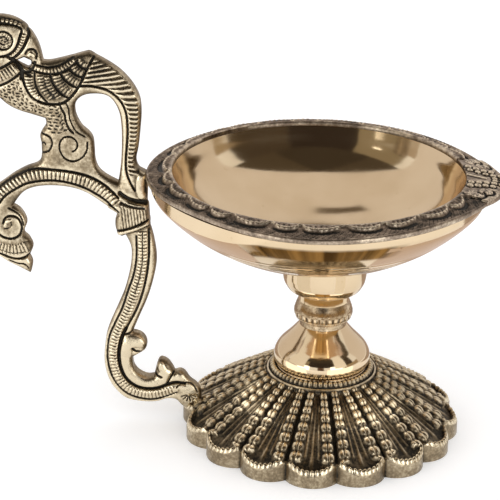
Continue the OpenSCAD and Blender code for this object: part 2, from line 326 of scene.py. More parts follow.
def plate(name, m, edge, top, bottom, outside, place, material, stands_for, bevel):
    """A closed mesh of the plate between top and bottom inside the edge, cut off where outside > 0.

    The map's own coordinates and the height over it go through place to the lamp's.
    """
    ink_map = m.face()[1]
    keep = np.argwhere((edge < 1) & (outside < 1))
    lo, hi = np.maximum(keep.min(0) - 3, 0), keep.max(0) + 4
    w = (slice(lo[0], hi[0]), slice(lo[1], hi[1]))
    low_w, high_w = bottom[w].min() - 0.6, top[w].max() + 0.6
    n = int((high_w - low_w) / VOXEL) + 2
    across = low_w + VOXEL * np.arange(n)
    a = (edge[w] + bevel)[:, :, None]
    b = np.maximum(across - top[w][:, :, None], bottom[w][:, :, None] - across) + bevel
    field = np.minimum(np.maximum(a, b), 0) + np.hypot(np.maximum(a, 0), np.maximum(b, 0)) - bevel
    field = np.maximum(field, outside[w][:, :, None])
    volume = openvdb.FloatGrid(FAR)
    volume.copyFromArray(np.ascontiguousarray(field, np.float32))
    points, quads = volume.convertToQuads(0.0)
    points = np.asarray(points, float)
    quads = np.asarray(quads)
    uvw = points * VOXEL + np.array([m.u[lo[0], 0], m.v[0, lo[1]], low_w])
    xyz = place(uvw)
    a, b, c, d = np.moveaxis(xyz[quads], 1, 0)
    if np.einsum("ij,ij", a, np.cross(b, c) + np.cross(c, d)) < 0:      # the faces look inwards
        quads = quads[:, ::-1]
    i = np.clip((points[:, :2] + lo).round().astype(int), 0, np.array(m.u.shape) - 1)
    ink = ink_map[i[:, 0], i[:, 1]]
    depth_in = np.minimum(top[i[:, 0], i[:, 1]] - uvw[:, 2], uvw[:, 2] - bottom[i[:, 0], i[:, 1]])
    side = unit((depth_in - 0.35) / 0.5)
    ink = ink * (1 - side) + SIDE_INK * side
    piece(name, xyz, quads.tolist(), material, stands_for, ink=ink)


# ---- The handle ----

COLLAR_RIGHT, COLLAR_LEFT = (-48.4, 59.2), (-55.2, 56.4)
TAIL_RIGHT, TAIL_LEFT = (-49.2, 67), (-57.2, 67)
ARCH_END, CROOK = (-57.2, 62.8), (-57.2, 71.8)
PERCH_RIGHT, PERCH_LEFT = (-68.2, 89.5), (-77, 89.5)


def bird_back():
    """The bird's outline from its nape over the wing and down the tail."""
    return [
        curve([(-77.3, 105.7), (-75, 105.8), (-70, 107.2), (-66.5, 108.3), (-64.8, 108.6), (-63, 107.6)]),
        curve([(-63, 107.6), (-60, 106), (-57, 104), (-54.6, 101.7), (-52.6, 99), (-51.3, 96),
            (-50.9, 92), (-51.2, 87), (-51.7, 82), (-52.3, 78.4), (-51.4, 76), (-49, 74.6)])]


def bird_front():
    """The bird's outline from the perch round its breast and head to the nape."""
    return curve([PERCH_LEFT, (-80.5, 90.5), (-84, 91.5), (-87, 93), (-89.6, 95.3), (-92, 98.2),
        (-94, 102), (-95.4, 106.6), (-96, 110.9), (-95, 114.8), (-92.2, 117.4), (-88.6, 118),
        (-85, 117.4), (-82, 115.7), (-79.8, 112.9), (-78.3, 109.8), (-77.3, 105.7)])


def limb_edge():
    """The limb's outline from the collar's right corner round the foot to its left corner."""
    scroll, hook, toe = (-53.2, 27.1), (-53.2, 19.3), (-33.8, 3.2)
    bud, bud_foot = (-47.2, 13.7), (-41.2, 15.2)
    return [
        curve([COLLAR_RIGHT, (-47.5, 55.9), (-46.7, 51), (-46.8, 47), (-47.8, 42), (-49.3, 37),
            (-51.3, 32), scroll]),
        curve([scroll, (-51.3, 26.6), (-49.8, 25.2), (-49.2, 23.4), (-49.7, 21.8), (-51, 20.7), hook]),
        curve([hook, (-53, 16.8), (-52, 15), (-50.5, 13.9), (-48.8, 13.4), bud]),
        curve([bud, (-46.5, 16.9), (-45.8, 18.7), (-44.8, 19), (-43, 18), bud_foot]),
        curve([bud_foot, (-40, 15.6), (-38.5, 15), (-37, 12.9), (-35, 11.3), (-33.8, 8.9), toe]),
        curve([toe, (-38.5, 4.3), (-41, 6.5), (-43.5, 6.6), (-46, 5.7), (-49, 5.4), (-52, 5.6),
            (-55, 6.3), (-57.5, 8.3), (-59.6, 11.2), (-60.9, 15.1), (-61.3, 19), (-60.9, 24), (-60, 28.3),
            (-57, 35.8), (-55.5, 39.8), (-54.2, 45), (-53.6, 49), (-53.7, 53), COLLAR_LEFT])]


def arch_outside():
    """The arch's outline from the collar under it, round the curl and leaf, up to the perch."""
    return [
        curve([ARCH_END, (-60, 64.5), (-63, 66.6), (-66, 68.4), (-70, 69.7), (-75, 70.1), (-80, 69.5),
            (-83.5, 67.7), (-86.2, 63.9)]),
        curve([(-86.2, 63.9), (-84.4, 62.7), (-83, 60.6), (-82.6, 58.6), (-83.4, 55.9), (-82, 54.3),
            (-81, 51.8), (-82, 49)]),
        curve([(-82, 49), (-81.2, 46.9), (-81.7, 43.9)]),
        curve([(-81.7, 43.9), (-84.5, 45.4), (-88, 47.1), (-91.5, 49.7), (-94.4, 53.2), (-96.4, 57.5),
            (-96.8, 61.9), (-95.4, 65.4), (-92.8, 68.2), (-89.5, 70.3), (-86, 73), (-82.5, 75.1),
            (-79.4, 76.4), (-78.2, 78.3), (-78.1, 82), (-78.4, 84.9), (-76.8, 87.8), PERCH_LEFT])]


def inner_loop():
    """The opening between the tail, the perch and the arch."""
    return [
        curve([CROOK, (-56.8, 74.4), (-56.4, 78), (-56.2, 83), (-56.3, 88), (-56.9, 92), (-58.6, 95.3),
            (-61, 96.8), (-65, 96.8), (-67.5, 95.7), (-68.8, 93.7), (-68.8, 91.3), PERCH_RIGHT]),
        curve([PERCH_RIGHT, (-67, 87.5), (-65, 85.7), (-64, 83.9), (-63.7, 80.9), (-63.5, 77.9),
            (-62.5, 75.3), (-60.3, 73.4), CROOK])]


def handle_loops():
    """The outline of the whole handle, and its two openings."""
    collar_right = curve([(-48.9, 65.5), (-48.7, 62.5), COLLAR_RIGHT])
    collar_left = curve([COLLAR_LEFT, (-56.2, 56), (-57.2, 56.8), (-57.9, 59), (-57.9, 61.4), ARCH_END])
    outer = bird_back() + [[TAIL_RIGHT], collar_right] + limb_edge() + [collar_left]
    outer += arch_outside() + [bird_front()]
    gap = [(-84.4, 105.5), (-82.4, 106.5), (-80.6, 105.7), (-80.5, 104.4), (-81.5, 103.7), (-82.9, 104.4)]
    return [np.vstack(outer), np.vstack(inner_loop()), np.array(gap)]


def carve_limb(m):
    """The limb: two edge lines with a ribbed band between them, the C-scroll, its buds and its foot."""
    left = [(-52.1, 56.6), (-52.1, 50), (-52.9, 44.8), (-54.5, 39.8), (-56, 34.8), (-58, 30.2),
            (-59.7, 25.8), (-60.3, 21), (-60, 17), (-58.9, 13.3), (-57, 10.3), (-54.4, 8.2),
            (-51.5, 7.1), (-48, 6.7), (-45, 7.3), (-42.5, 8.4), (-40.6, 9.4)]
    right = [(-48.7, 58.6), (-48.6, 51.8), (-49.1, 45.8), (-50.3, 39.8), (-51.9, 34.8), (-53.9, 30.6),
             (-55.2, 28)]
    valley = [(-55, 28.6), (-56.3, 25.2), (-57, 21), (-56.6, 16.9), (-55.2, 13.4), (-52.6, 11),
              (-49.3, 10.1), (-46, 10.5), (-43.4, 11.6), (-40.8, 12.3), (-38.4, 12)]
    m.groove(left, 0.55, 0.4)
    m.groove(right, 0.6, 0.45)
    m.groove(valley, 0.95, 0.7)
    upper = [(-50.4, 58), (-50.4, 50), (-51, 45), (-52.4, 39.8)]
    lower = [(-53.9, 35.2), (-56, 30.2), (-57.9, 25.8), (-58.7, 21), (-58.3, 16.8), (-57, 12.8),
             (-54.3, 9.9), (-51, 8.6), (-47.5, 8.4), (-43.5, 9.3), (-41.2, 10.1)]
    m.ribs(upper + lower, 2.5, 0.98, 0.3, 0.85)
    m.groove(upper, 0.45, 0.25, 0.75)
    m.ridge([(-51, 24.6), (-53.6, 24.4), (-55.1, 21.4), (-55, 18), (-53.9, 15.2), (-51.5, 12.9),
             (-48.5, 12), (-45.6, 12.8), (-43.8, 14.8)], 3.6, 0.35)
    m.groove([(-55.4, 26.6), (-53.8, 27.2), (-52.9, 28.2)], 0.5, 0.4)
    m.groove([(-53.2, 22.4), (-52.4, 21.6), (-51.2, 21.4)], 0.7, 0.5)
    m.groove([(-47.2, 15.6), (-46.3, 14.4), (-44.9, 13.9)], 0.6, 0.4)
    m.groove([(-43.4, 11.8), (-42.6, 13.6), (-41.6, 15.3)], 0.6, 0.45)
    m.ridge([(-45.2, 17.4), (-44.3, 15.8), (-43.4, 14.8)], 2.4, 0.4)
    m.groove([(-40.8, 10.9), (-39.3, 12), (-37.6, 12.3), (-35.8, 11.3), (-34.8, 9.4)], 0.4, 0.3, 0.9)
    for a in range(200, 341, 28):
        r = math.radians(a)
        out = np.array([math.cos(r), math.sin(r)])
        m.groove(np.stack([0.6 * out, 2.2 * out]) + (-37.2, 8.8), 0.35, 0.25, 0.8)


def carve_collar(m):
    """The collar: a dark mouth round the tail, upright flutes, and a moulding along its lower edge."""
    m.groove([(-56.6, 69), (-54.6, 67.6), (-52, 66.8), (-49.2, 66.4)], 1.3, 0.45, 0.9)
    m.groove([(-56.3, 66.3), (-53.5, 65.4), (-50, 64.9)], 0.7, 0.25, 0.8)
    w, inside = m.region([(-56.4, 65.4), (-49.4, 64.6), (-48.9, 61), (-56.3, 58.6)])
    m.hatch(w, inside, (m.u[w] + 0.12 * m.v[w]) / 0.85, 0.3, 0.75)
    m.groove([(-57.4, 58), (-53.5, 59.2), (-48.6, 61.6)], 0.5, 0.45)
    m.groove([(-57, 56.5), (-53.4, 57.7), (-48.2, 60)], 0.4, 0.4)
    m.ridge([(-57.4, 57.2), (-53.4, 58.5), (-48.3, 60.8)], 1.5, 0.4)


def carve_arch(m):
    """The arch: edge lines and a ribbed band, then the curl and the leaf at its free end."""
    m.groove([(-95.2, 60), (-93.9, 64.2), (-91.5, 67.6), (-88.5, 70.4), (-85, 72.9), (-80.8, 74.9),
              (-77, 75.3), (-70, 74.8), (-65, 73.6), (-60.5, 71), (-57, 67.6)], 0.6, 0.45)
    m.groove([(-91.6, 59), (-90.8, 62.6), (-89.6, 65.2), (-87.8, 67.4), (-85, 69.3), (-82, 70.9),
              (-78, 71.8), (-74, 72), (-70, 71.4), (-66, 70), (-62, 67.8), (-59, 65.5), (-57, 63.6)],
             0.6, 0.45)
    m.ribs([(-93.4, 59.6), (-92.4, 63.4), (-90.6, 66.6), (-87.2, 69.8), (-83, 72.6), (-79, 73.7),
            (-75, 73.8), (-70, 73.1), (-65, 71.8), (-61, 69.3), (-57.6, 65.8)], 3.0, 1.15, 0.32, 0.75)
    m.groove([(-91, 57.6), (-90, 55.6), (-88, 54.6), (-86, 54.6), (-84.3, 55.8), (-83.8, 58.2),
              (-84.8, 60.4), (-86.5, 61.2), (-88.2, 60.6), (-88.9, 59)], 0.55, 0.45)
    m.ridge([(-88.4, 58.2), (-88, 59.4), (-87, 59.8)], 1.0, 0.3)
    m.groove([(-86.8, 59.4), (-86.6, 58.4), (-87.4, 57.6), (-88.6, 57.4)], 0.35, 0.2, 0.7)
    m.groove([(-87.4, 63.4), (-85, 62), (-83.9, 60.4), (-83.3, 58.4)], 0.4, 0.35, 0.9)
    m.groove([(-93, 50.6), (-90, 49.7), (-86, 48.5), (-83.2, 48.9), (-81.4, 50.2)], 0.6, 0.5)
    m.ribs([(-93.2, 53.6), (-90.5, 52), (-87.5, 51.2), (-84.6, 51.4), (-82.4, 52.2)],
           3.2, 0.95, 0.32, 0.8)
    m.groove([(-92.4, 52.2), (-89.5, 50.9), (-86, 50.2), (-83, 50.6)], 0.3, 0.25, 0.7)
    m.groove([(-87.6, 47.9), (-85, 47), (-83.2, 46.9), (-82.1, 45.6)], 0.4, 0.35, 0.9)


def carve_perch(m):
    """The perch: a scroll, half a second one, and the creases and dashes of the foot on it."""
    m.groove([(-65.4, 83.4), (-65.6, 81), (-67, 78.9), (-69.3, 77.9), (-71.6, 78.7), (-72.9, 80.8),
              (-72.9, 83), (-71.8, 84.6), (-70, 84.9), (-68.6, 84), (-68.1, 82.5), (-68.6, 81.2),
              (-69.5, 80.7)], 0.42, 0.35)
    m.groove([(-78, 79.8), (-76, 80.6), (-75, 82.6), (-75.6, 84.6), (-77.8, 85.5)], 0.42, 0.35)
    m.groove([(-78, 82.4), (-77.2, 82.9), (-76.8, 82.4)], 0.35, 0.25, 0.8)
    m.groove([(-72.9, 94.4), (-72.3, 92.7), (-71.5, 91.2), (-71.2, 89.3), (-70.4, 87.2), (-69.2, 86)],
             0.5, 0.4)
    m.groove([(-71.2, 94.6), (-70.4, 92.6), (-70.1, 89.8), (-68.6, 86.6), (-66, 85)], 0.35, 0.3, 0.7)
    w, inside = m.region([(-77.6, 88), (-75.5, 94), (-72.9, 93.6), (-71.6, 89), (-70.6, 86.4),
                          (-74.6, 85.4)])
    m.dashes(w, inside, 8, 1.7, 0.95, 0.2, 0.75)


def carve_head(m):
    """The head, which looks back: a beaded crest, the face with its round eye, and the beak."""
    m.beads([(-94.6, 108), (-94.6, 111.6), (-93.4, 114.6), (-91.3, 116.3), (-88.4, 116.9), (-85.3, 116.5),
             (-82.9, 115.6)], 1.3, 1.15, 0.35, 0.9)
    m.groove([(-93.4, 108.6), (-93.4, 111.4), (-92.4, 113.8), (-90.6, 115.5), (-88.4, 115.9),
              (-86, 115.8), (-83.7, 115.3), (-82.7, 114.4), (-83.2, 112.6), (-83.8, 110.6),
              (-84.8, 108.8), (-86.4, 107.5), (-88.6, 106.9), (-91, 107.4), (-93.4, 108.6)], 0.6, 0.5)
    m.groove(circle_path((-87.7, 111.4), 2.5, -120, 110), 0.45, 0.35, 0.95)
    w, inside = m.region(circle_path((-87.7, 111.4), 2.2))
    m.dashes(w, inside, 35, 1.1, 0.7, 0.18, 0.85)
    m.groove(circle_path((-87.7, 111.4), 1.1, 0, 280), 0.35, 0.25, 0.9)
    m.groove([(-81.1, 114.6), (-80.9, 113), (-81.6, 111.2), (-82.4, 109.6), (-83.6, 107.9), (-85, 106.6)],
             0.75, 0.55)
    m.ribs([(-82, 113.4), (-82.4, 111.6), (-83.2, 109.6), (-84.4, 107.8), (-86, 106.6)], 1.3, 0.8, 0.35,
           0.8)
    m.groove([(-81.9, 107.8), (-81, 109.1), (-79.7, 109.2), (-78.8, 108), (-79, 106.7)], 0.5, 0.4)
    m.ridge([(-81, 107.4), (-80.3, 108), (-79.6, 107.3)], 1.0, 0.3)


def carve_neck(m):
    """The neck: its folds, a ribbed collar and the dashed breast."""
    m.groove([(-85.6, 106.4), (-84, 104.6), (-82.9, 102.9), (-83, 101.2)], 1.2, 0.5)
    m.groove([(-86.6, 107), (-84.6, 105.2), (-82.6, 103), (-80.6, 101.9)], 0.9, 0.4)
    m.groove([(-83.4, 103.4), (-81.4, 102.6), (-80, 103.8), (-79.3, 105.6)], 0.8, 0.4)
    m.groove([(-94.3, 103.4), (-91.5, 102.8), (-88.8, 103.6), (-86.6, 104.8), (-84.8, 106)], 0.6, 0.45)
    m.ribs([(-94, 101.4), (-91.2, 100.7), (-88.6, 101.4), (-86.2, 102.7), (-84.2, 104)], 2.6, 0.95, 0.32,
           0.85)
    m.groove([(-93.2, 98.9), (-91, 98.3), (-88.8, 98.8), (-86.4, 100), (-84.4, 101.5), (-83, 102.8)], 0.6,
             0.45)
    w, inside = m.region([(-92.2, 97.6), (-88.5, 98), (-83.6, 100.8), (-82.8, 98), (-80.6, 94.4),
                          (-76, 92.6), (-77.2, 90.6), (-83.6, 92.2), (-88.6, 95)])
    m.dashes(w, inside, -38, 1.5, 0.9, 0.25, 0.8)


def carve_wing(m):
    """The wing: its outline, a ribbed shoulder band, and ribbed feathers between fine lines."""
    m.groove([(-82.9, 103), (-82.6, 100.6), (-81.7, 98), (-80.2, 95.8), (-78, 94.5), (-75.6, 94),
              (-73, 94.1), (-71, 95), (-69.5, 96.4), (-68, 98.5), (-66.8, 100.8), (-65.7, 103.5),
              (-64.4, 106), (-63.6, 107.4)], 0.65, 0.5)
    upper = curve([(-80.6, 105.4), (-77.8, 104.5), (-75.2, 104.3), (-72.6, 105), (-70.2, 106.4),
                   (-68.9, 107.2)])
    lower = curve([(-80.8, 103.5), (-77.8, 102.8), (-75, 102.5), (-72.4, 103), (-70, 104.4),
                   (-67.8, 106.6)])
    m.groove(upper, 0.5, 0.4)
    m.groove(lower, 0.5, 0.4)
    m.ribs((upper + lower) / 2, 1.6, 0.95, 0.3, 0.75)
    feathers = [[(-79.5, 102.6), (-79.3, 99.8), (-78.4, 97.3), (-77, 95.4), (-76.2, 94.6)],
                [(-75.2, 102.2), (-74.5, 99.8), (-73, 97.7), (-71.5, 96.4), (-70.4, 95.9)],
                [(-72.5, 102.8), (-71.6, 101.3), (-70.2, 100), (-68.8, 99.2), (-67.9, 98.9)],
                [(-70.2, 104.2), (-69.3, 103.2), (-67.9, 102.3), (-66.5, 101.8)],
                [(-68.2, 106.2), (-67.6, 105.3), (-66.6, 104.5), (-65.5, 104.2)]]
    for line in feathers:
        m.groove(line, 0.5, 0.42)
    bands = [([(-81.1, 102.6), (-81, 99.8), (-80, 97), (-78.4, 95.2)], 2.2),
             ([(-78, 102), (-77.5, 99.6), (-76.4, 97.4), (-74.8, 95.7)], 2.0),
             ([(-76.3, 101.8), (-75.9, 99.6), (-74.6, 97.6), (-73, 95.9)], 1.5),
             ([(-73.7, 102.3), (-72.9, 100.3), (-71.4, 98.4), (-69.8, 97.3)], 2.3),
             ([(-71.2, 103.2), (-70.3, 101.9), (-69, 100.9), (-67.6, 100.3)], 1.9),
             ([(-69.2, 105.1), (-68.5, 104.1), (-67.3, 103.3), (-66, 102.9)], 1.7),
             ([(-67.6, 107.1), (-66.8, 106.1), (-65.8, 105.4), (-64.9, 105.2)], 1.5)]
    for line, width in bands:
        m.ribs(line, width, 0.9, 0.28, 0.7)


def carve_tail(m, edge):
    """The tail: slanting barbs from the wing down to the collar, inside the edge."""
    inner = curve([(-67.2, 99.4), (-65, 99.5), (-62, 99.1), (-59.5, 98.2), (-57, 96.2), (-55.4, 93.6),
                   (-54.7, 90.7), (-54.5, 86.7), (-54.7, 82.7), (-55, 78.7), (-54.8, 75.2), (-53.8, 72.3),
                   (-52.5, 70)])
    m.groove(inner, 0.6, 0.5)
    w, off, _ = m.along(inner, 12)
    u, v = m.u[w], m.v[w]
    wing = -(u + 66.8) * 0.9 + (v - 100.8) * 0.42
    inside = (unit((off - 0.4) / 0.3) * unit((-edge[w] - 0.5) / 0.3)
              * unit((-wing - 0.4) / 0.3) * (v > 74.5))
    tilt = np.interp(v, [76, 90, 96, 99, 103, 107], [-0.2, -0.12, -0.03, 0.14, 0.22, 0.34])
    count = np.interp(v - tilt * (u + 58), [60, 76, 95, 100, 120], [0, 14.5, 30.1, 33.7, 47.5])
    m.hatch(w, inside, count, 0.5, 0.95)
    m.lift(w, inside * 0.2)
    m.ridge([(-50.2, 75.2), (-51, 73), (-51, 70), (-50.6, 68.6)], 2.4, 0.5)


def handle():
    """The map of the whole handle with its relief, its edge distance and its half thickness."""
    m = Relief((-98, 1.8), (-31.8, 119.5))
    edge = signed_distance(m.u, m.v, handle_loops())
    carve_limb(m)
    carve_collar(m)
    carve_arch(m)
    carve_perch(m)
    carve_head(m)
    carve_neck(m)
    carve_wing(m)
    carve_tail(m, edge)
    across = 0.923 * (m.v - 57.8) - 0.384 * (m.u + 51.8)    # how far above the limb's joint
    swell = unit(across / 1.2) * unit((66.5 - m.v) / 1.5) * (m.u > -60)     # the collar is thicker
    wing = [(-81.6, 104), (-70, 106.6), (-64, 107.6), (-67.6, 99.6), (-71, 95.4), (-76, 94.2), (-80.8, 97)]
    neck = [(-95, 104.6), (-86, 106.6), (-81.4, 103), (-84, 99.4), (-93.6, 97.4)]
    m.shade(wing, 0.2)
    m.shade(neck, 0.16)
    # A mid tone of its own, which grows darker towards the top as painted shade.
    m.tone += np.interp(m.v, [5, 25, 35, 55, 75], [0.14, 0.16, 0.24, 0.32, 0.4])
    # A random tone from the sines, and painted shade over the outer 1.3 mm round the edge.
    m.tone += 0.07 * np.sin(m.u / 7.3 + 1) * np.sin(m.v / 9.1) + 0.2 * unit(1 + edge / 1.3)
    # Painted highlight: the tail and the back above the collar are made lighter.
    m.tone -= 0.33 * unit((m.u + 64) / 6) * unit((m.v - 70) / 8)
    pillow = 0.85 * np.sqrt(unit(-edge / 3.4)) - 0.5
    half = HANDLE_HALF + pillow + (COLLAR_HALF - HANDLE_HALF) * swell + m.face()[0]
    return m, edge, half, across


def build_handle(material):
    """The handle's four castings, cut apart where they meet, with a little overlap."""
    m, edge, half, across = handle()
    u, v = m.u, m.v
    side, tail_z = TAIL_LEFT
    arch_z, perch_z = ARCH_END[1], PERCH_LEFT[1]
    outside = {
        "peacock": np.minimum(perch_z - LAP - v, np.maximum(side - LAP - u, tail_z - LAP - v)),
        "handle_arch": np.maximum.reduce(
            [v - perch_z - LAP, u - side - LAP, np.minimum(arch_z - LAP - v, u + 70)]),
        "handle_collar": np.maximum.reduce(
            [v - tail_z - LAP, -LAP - across, np.minimum(side - LAP - u, v - arch_z - LAP), -62 - u]),
        "handle_limb": np.maximum(across - LAP, -66 - u),
    }
    for name, g in outside.items():
        plate(name + "_cast", m, edge, half, -half, g, lambda p: p[:, [0, 2, 1]] * (1, -1, 1),
              material, name, HANDLE_BEVEL)


# ---- The base ----

def dome_line():
    """The base's section over the petals."""
    return curve([(12.6, DOME_TOP), (14.7, 17.9), (19, 15.9), (23, 13.7), (28, 10.8), (33, 7.7), (37, 5.1),
                  (39, 3.8)])


def petal_reach(t):
    """The outline's radius at the angle t from a petal's middle."""
    return PETAL_AT * np.cos(t) + np.sqrt(PETAL_R ** 2 - PETAL_AT ** 2 * np.sin(t) ** 2)


def petal_relief(r, t, petal):
    """Height over the dome and darkness, at radius r and angle t from the petal's middle."""
    half = r * math.pi / PETALS
    q = r * t
    rim = petal_reach(t) - r
    end = rim + 0.35 < half - abs(q)
    s = np.minimum(half - abs(q), rim + 0.35)
    width = np.where(end, 1.5, np.interp(r, [15, 24, 34], [1.75, 2.6, 3.4]))
    place = np.where(end, q / 1.3 + 0.5, np.interp(r, [13, 24, 38], [0, 5, 10.2]))
    f = cycle(place + 0.31 * petal)
    gap = np.where(end, 0.3, 0.55)
    c = (s - gap - width / 2) / (width / 2)
    bead = np.sqrt(unit(1.05 - f ** 2 * 0.9 - c ** 2 * 0.9))
    split = np.where(end, 0, unit(1.3 - abs(c) * width / 0.5))
    dent = 0.3 * unit(np.cos(math.pi * f) * -1)
    row = abs(c) < 1.08
    height = np.where(row, 0.85 * bead - 0.45 * split * bead - dent * bead, 0)
    dark = np.where(row, 0.9 * (1 - bead) + 0.6 * split - 0.12, 0)
    valley = unit(1.25 - s / 0.5)
    channel = np.clip(half - gap - width, 0.4, 9)
    across = unit(abs(q) / channel)
    line = unit(np.cos(2 * math.pi * q / channel * 1.5)) ** 2 * unit((rim - 2.2) / 1.5)
    inner = c >= 1.08
    height = np.where(inner, -0.9 + 0.55 * across ** 2 + 0.34 * line, height) - 1.0 * valley
    dark = np.where(inner, 0.72 - 0.5 * line, dark)
    return height, np.maximum(dark, 1.05 * valley)


def collar_relief(r, a):
    """The beaded ring that stands round the foot of the stem, with a plain ring outside it."""
    c = (r - 13.65) / 0.8
    f = cycle(a * BEADS_AT_STEM / (2 * math.pi))
    bead = np.sqrt(unit(1 - f ** 2 * 0.9 - c ** 2 * 0.9))
    ring = unit(1 - abs(r - 15.05) / 0.4) ** 0.5
    height = np.where(abs(c) < 1.05, 0.45 + 0.95 * bead, 0.55 * ring)
    dark = np.where(abs(c) < 1.05, 0.9 * (1 - bead), 0.95 * (1 - ring))
    return height, dark


def base_top(a):
    """Rows of points over the petals, from the stem's foot out to the edge, and their darkness."""
    turn = (a + PETAL_TURN) / (2 * math.pi / PETALS) + 0.5
    petal = np.floor(turn)
    t = (turn - petal - 0.5) * 2 * math.pi / PETALS
    line = dome_line()
    slope = np.gradient(line[:, 1], line[:, 0])
    reach = petal_reach(t) - 0.25
    u = np.linspace(0, 1, 120)[:, None]
    r = 12.6 + (reach - 12.6) * u
    height, dark = petal_relief(r, t, petal)
    ring_h, ring_dark = collar_relief(r, a)
    blend = unit((r - 15.5) / 0.3)
    height = height * blend + ring_h * (1 - blend)
    dark = dark * blend + ring_dark * (1 - blend)
    out = petal_reach(t) - r
    fade = unit(out / 0.8)
    height, dark = height * fade, dark * unit(out / 0.55)
    k = np.interp(r, line[:, 0], slope)
    n = np.sqrt(1 + k ** 2)
    z = np.interp(r, line[:, 0], line[:, 1]) + height / n
    z -= 0.35 * unit(1 - out / 0.9) ** 2
    return r - height * k / n * 0.6, z, dark, t


def build_base(material):
    """The hollow petalled dome: its top, its scalloped edge, its underside and the stud's bore."""
    a = turns(COLUMNS)
    r, z, dark, t = base_top(a)
    reach = petal_reach(t)
    notch = unit(1 - (math.pi / PETALS - abs(t)) * 37 / 0.55)
    under = curve([(11, 15.6), (15, 14.4), (19, 12.6), (23, 10.2), (28, 6.8), (31.5, 3.6), (32.5, 1.6)])
    rows = [(np.full_like(a, BORE_R), np.full_like(a, DOME_TOP), 0 * a)]
    rows += list(zip(r, z, dark))
    top = z[-1]
    for inset, part in ((0.03, 0.93), (0, 0.8), (0, 0.6), (0, 0.4), (0, 0.2), (0, 0.07), (0.12, 0)):
        rows.append((reach - inset, top * part, np.maximum(notch * 0.95, 0.4)))
    rows += [(np.full_like(a, x), np.full_like(a, y), 0 * a + 0.3)
             for x, y in [(33.2, 0), (32.5, 0.5)] + list(under[::-2]) + [(BORE_R, 15.6)]]
    r, z, ink = (np.stack(column) for column in zip(*rows))
    piece("base_lotus_cast", swept(r, z, a), grid_faces(len(rows), COLUMNS), material,
          "base_lotus", ink, 70)


# ---- The stem and the bowl ----

def bored(profile, height):
    """The turned outside profile, closed by the stud's bore."""
    return np.vstack([[(BORE_R, 0)], profile, [(BORE_R, height)]])


def build_stem(polished, rubbed):
    """The bell, and the cup with its neck and its hollow for the bowl's boss, and the ring between them."""
    bell = curve([(12, 0), (12.6, 0.25), (12.6, 0.7), (12.5, 0.95), (13.05, 1.7), (13.4, 3), (13.4, 4.2),
                  (12.95, 5.6), (12, 7.1), (10.5, 8.7), (9, 10.3), (7.8, 11.7), (6.6, BELL_H)])
    ring_solid("bell_turned", bored(bell, BELL_H) + (0, DOME_TOP), polished, "stem_bell")
    swell = curve([(7.1, 2.4), (8.6, 2.8), (9.9, 3.5), (10.8, 4.8), (11.3, 5.9), (11.6, 7.6)])
    cup = np.vstack([[(7.1, 0)], swell, [(11.6, 12.4), (11.4, CUP_H), (8.5, CUP_H), (8.5, 4.6)]])
    ring_solid("cup_turned", bored(cup, 4.6) + (0, CUP_Z), polished, "stem_cup")
    build_ring(rubbed)


def build_ring(material):
    """The swollen ring of the stem, with upright teeth round its middle and plain slopes beyond them."""
    swell = curve([(6.3, 1.2), (7.6, 2.3), (8.1, 4.1), (7.8, 5.6), (7.1, RING_H)], 12)
    line = np.vstack([[(6.5, 0)], swell])
    columns = 480
    a = turns(columns)
    f = cycle(a * RING_TEETH / (2 * math.pi))
    tooth = nick(f, 0.96)
    z = line[:, 1:] + 0 * a
    top = 3.9 + 0.6 * np.sqrt(1 - 0.9 * f ** 2)
    band = unit((z - 2.5) / 0.25) * unit((top - z) / 0.3)
    lip = unit(1 - abs(z - 2.2) / 0.35)
    r = line[:, :1] - 0.45 * tooth * band + 0.2 * lip + 0.12 * band
    zero = 0 * a[None]
    rows_r = np.vstack([zero + BORE_R, r, zero + BORE_R])
    rows_z = np.vstack([zero, z, zero + RING_H]) + RING_Z
    ink = np.vstack([zero, 0.2 + tooth * band * 0.8 - 0.1 * band, zero])
    piece("ring_knurled", swept(rows_r, rows_z, a), grid_faces(len(rows_r), columns), material,
          "stem_ring", ink, 50)


def bowl_line():
    """The bowl's section: its outside with fine turned rings, its lip, and its inside."""
    out = curve([(13, 0), (18, 1.4), (24, 3.7), (30, 6.6), (36, 10.4), (41, 14.6), (44.4, 18.1),
                 (45.6, 20.2), (46, 22.3)], 30)
    for r in (33.4, 34.9, 36.3, 38.2):
        out[:, 1] += 0.2 * np.exp(-((out[:, 0] - r) / 0.22) ** 2)
    inner = curve([(40, 23.97), (39.2, 22), (37.8, 18.6), (35.6, 15.2), (32, 12), (27, 9), (20, 6.2),
                   (12, 4.5), (0, 3.7)], 10)
    return out, inner


def build_bowl(material):
    """The spun bowl. Its wall is trimmed to the rim's outline, and a boss under it takes the stud."""
    out, inner = bowl_line()
    line = np.vstack([[(0.02, 0)], out, inner[:-1], [(0.02, 3.7)]])
    columns = 384
    a = turns(columns)
    r = np.minimum(line[:, :1], rim_reach(a) - 0.15)
    piece("bowl_spun", swept(r, BOWL_Z + line[:, 1:], a, BOWL_X), grid_faces(len(line), columns), material,
          "bowl", sharp=35)
    seat = np.array([(0.02, -BOSS_H), (8.3, -BOSS_H), (8.3, 0.02), (11.6, 0.02), (11.6, 1.5), (0.02, 1.5)])
    ring_solid("bowl_seat", seat + (0, BOWL_Z), material, "bowl")


# ---- The rim and its leaf ----

def rim_reach(a):
    """The rim's outer radius round the bowl's axis."""
    back = np.cos(a) < 0
    flare = 2.6 * np.exp(-(np.degrees(np.minimum(a, 2 * math.pi - a)) / 22) ** 2)
    return 46.6 + flare + back * 0.4 * np.cos(a) ** 8 - np.where(back, 2.0, 0.8) * np.sin(2 * a) ** 2


